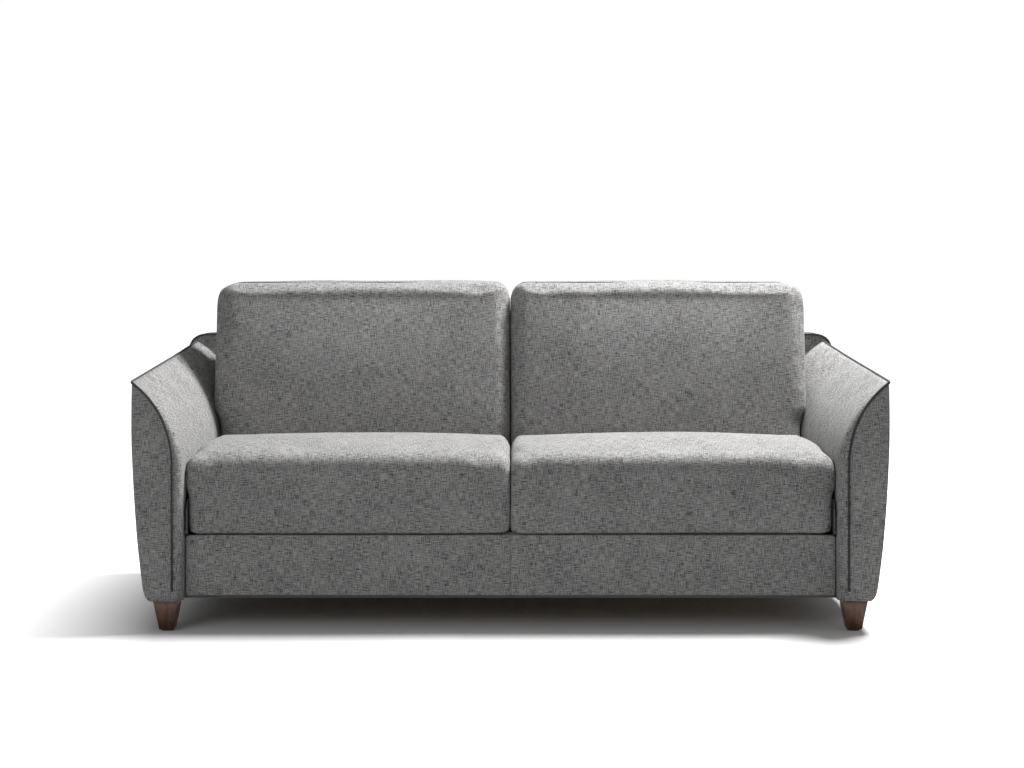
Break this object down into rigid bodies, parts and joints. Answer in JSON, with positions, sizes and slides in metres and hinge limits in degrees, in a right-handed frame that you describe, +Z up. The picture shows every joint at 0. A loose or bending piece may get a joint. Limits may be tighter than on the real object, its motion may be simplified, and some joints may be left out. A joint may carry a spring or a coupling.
{
  "type": "sleeper sofa with pull-out bed",
  "caption": "Upholstered sleeper sofa with flared arms; seat and backrest turn over forward on lift arms and form a flat slatted bed on folding legs.",
  "frame": {"origin": "on the floor, under the middle of the closed sofa", "axes": "+Z up; -Y towards the front, where the bed opens; +X to the right seen from the front"},
  "size_m": [1.9648, 0.95, 0.9],
  "materials": {
    "upholstery_fabric": "grey melange tweed weave",
    "ticking": "woven mattress ticking",
    "webbing": "woven polyester webbing",
    "walnut_wood": "satin walnut stain",
    "beech_ply": "raw plywood",
    "pine_rail": "raw pine",
    "beech_slat": "clear lacquered beech",
    "painted_steel": "black powder coat",
    "bright_steel": "zinc-plated",
    "glide_plastic": "moulded nylon"
  },
  "bodies": {
    "sofa_frame": {"arm_right": "upholstery_fabric", "arm_left": "upholstery_fabric", "arm_board_right": "beech_ply", "arm_board_left": "beech_ply", "back_post_right": "upholstery_fabric", "back_post_left": "upholstery_fabric", "back_panel": "upholstery_fabric", "front_board": "beech_ply", "front_panel": "upholstery_fabric", "front_base_rail": "painted_steel", "base_rail_right": "pine_rail", "base_rail_left": "pine_rail", "foot_front_right": "walnut_wood", "foot_front_left": "walnut_wood", "foot_rear_right": "walnut_wood", "foot_rear_left": "walnut_wood", "foot_glides": "glide_plastic", "lift_bracket_front_right": "painted_steel", "lift_bracket_front_left": "painted_steel", "lift_bracket_rear_right": "painted_steel", "lift_bracket_rear_left": "painted_steel", "lift_base_pins": "bright_steel"},
    "lift_arms_front": {"lift_arm_front_right": "painted_steel", "lift_arm_front_left": "painted_steel"},
    "lift_arms_rear": {"lift_arm_rear_right": "painted_steel", "lift_arm_rear_left": "painted_steel"},
    "head_section": {"platform_tube_right": "painted_steel", "platform_tube_left": "painted_steel", "platform_front_tube": "painted_steel", "platform_cross_tubes": "painted_steel", "platform_slats": "beech_slat", "mattress_head": "ticking", "front_hinge_bracket_right": "painted_steel", "front_hinge_bracket_left": "painted_steel", "lift_end_pins": "bright_steel", "front_hinge_pins": "bright_steel"},
    "seat_section": {"seat_bar_right": "painted_steel", "seat_bar_left": "painted_steel", "seat_cross_rails": "painted_steel", "seat_battens": "beech_slat", "mattress_middle": "ticking", "seat_cushion_right": "upholstery_fabric", "seat_cushion_left": "upholstery_fabric", "back_hinge_pins": "bright_steel", "middle_leg_pins": "bright_steel"},
    "back_section": {"back_bar_right": "painted_steel", "back_bar_left": "painted_steel", "back_inner_bar_right": "painted_steel", "back_inner_bar_left": "painted_steel", "back_cross_rails": "painted_steel", "back_battens": "beech_slat", "mattress_foot": "ticking", "back_cushion_right": "upholstery_fabric", "back_cushion_left": "upholstery_fabric", "pull_strap": "webbing", "foot_leg_pins": "bright_steel"},
    "bed_legs_middle": {"bed_leg_middle_right": "painted_steel", "bed_leg_middle_left": "painted_steel"},
    "bed_legs_foot": {"bed_leg_foot_right": "painted_steel", "bed_leg_foot_left": "painted_steel"}
  },
  "joints": [
    {"name": "lift_front", "type": "hinge", "parent": "sofa_frame", "child": "lift_arms_front", "pos_m": [0, -0.34, 0.19922], "axis": [1, 0, 0], "range_deg": [0, 50]},
    {"name": "lift_rear", "type": "hinge", "parent": "sofa_frame", "child": "lift_arms_rear", "pos_m": [0, -0.03, 0.19922], "axis": [1, 0, 0], "range_deg": [0, 50]},
    {"name": "head_level", "type": "hinge", "parent": "lift_arms_front", "child": "head_section", "pos_m": [0, -0.15874, 0.1147], "axis": [1, 0, 0], "range_deg": [-50, 0]},
    {"name": "seat_fold", "type": "hinge", "parent": "head_section", "child": "seat_section", "pos_m": [0, -0.437, 0.256], "axis": [1, 0, 0], "range_deg": [0, 180]},
    {"name": "back_fold", "type": "hinge", "parent": "seat_section", "child": "back_section", "pos_m": [0, 0.426, 0.256], "axis": [1, 0, 0], "range_deg": [-90, 0]},
    {"name": "middle_legs", "type": "hinge", "parent": "seat_section", "child": "bed_legs_middle", "pos_m": [0, 0.321, 0.3278], "axis": [1, 0, 0], "range_deg": [-90, 0]},
    {"name": "foot_legs", "type": "hinge", "parent": "back_section", "child": "bed_legs_foot", "pos_m": [0, 0.3542, 0.70625], "axis": [1, 0, 0], "range_deg": [-90, 0]}
  ],
  "couplings": [
    {"joint": "lift_front", "follows": "seat_fold", "ratio": 0.27778},
    {"joint": "lift_rear", "follows": "seat_fold", "ratio": 0.27778},
    {"joint": "head_level", "follows": "seat_fold", "ratio": -0.27778},
    {"joint": "back_fold", "follows": "seat_fold", "ratio": -0.5},
    {"joint": "middle_legs", "follows": "seat_fold", "ratio": -0.5},
    {"joint": "foot_legs", "follows": "seat_fold", "ratio": -0.5}
  ]
}
